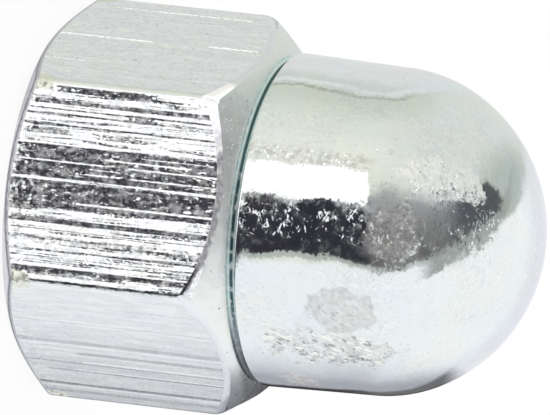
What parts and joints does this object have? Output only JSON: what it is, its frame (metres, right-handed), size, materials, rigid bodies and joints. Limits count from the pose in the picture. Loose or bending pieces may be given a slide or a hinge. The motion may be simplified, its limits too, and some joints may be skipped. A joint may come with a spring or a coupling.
{
  "type": "cap nut",
  "caption": "Tall cap nut: a hexagon with a blind threaded bore, closed by a round-ended dome that covers the end of a bolt.",
  "frame": {"origin": "centre of the bearing face, on the thread's axis", "axes": "+Z along the thread's axis towards the tip of the dome; two corners of the hexagon lie on X, and two flats face Y"},
  "size_m": [0.015, 0.013, 0.0187],
  "materials": {
    "zinc_plate": "bright zinc plating over drawn flats and a turned dome, with tumbling marks"
  },
  "bodies": {
    "root": {"cap_nut": "zinc_plate"}
  },
  "joints": []
}
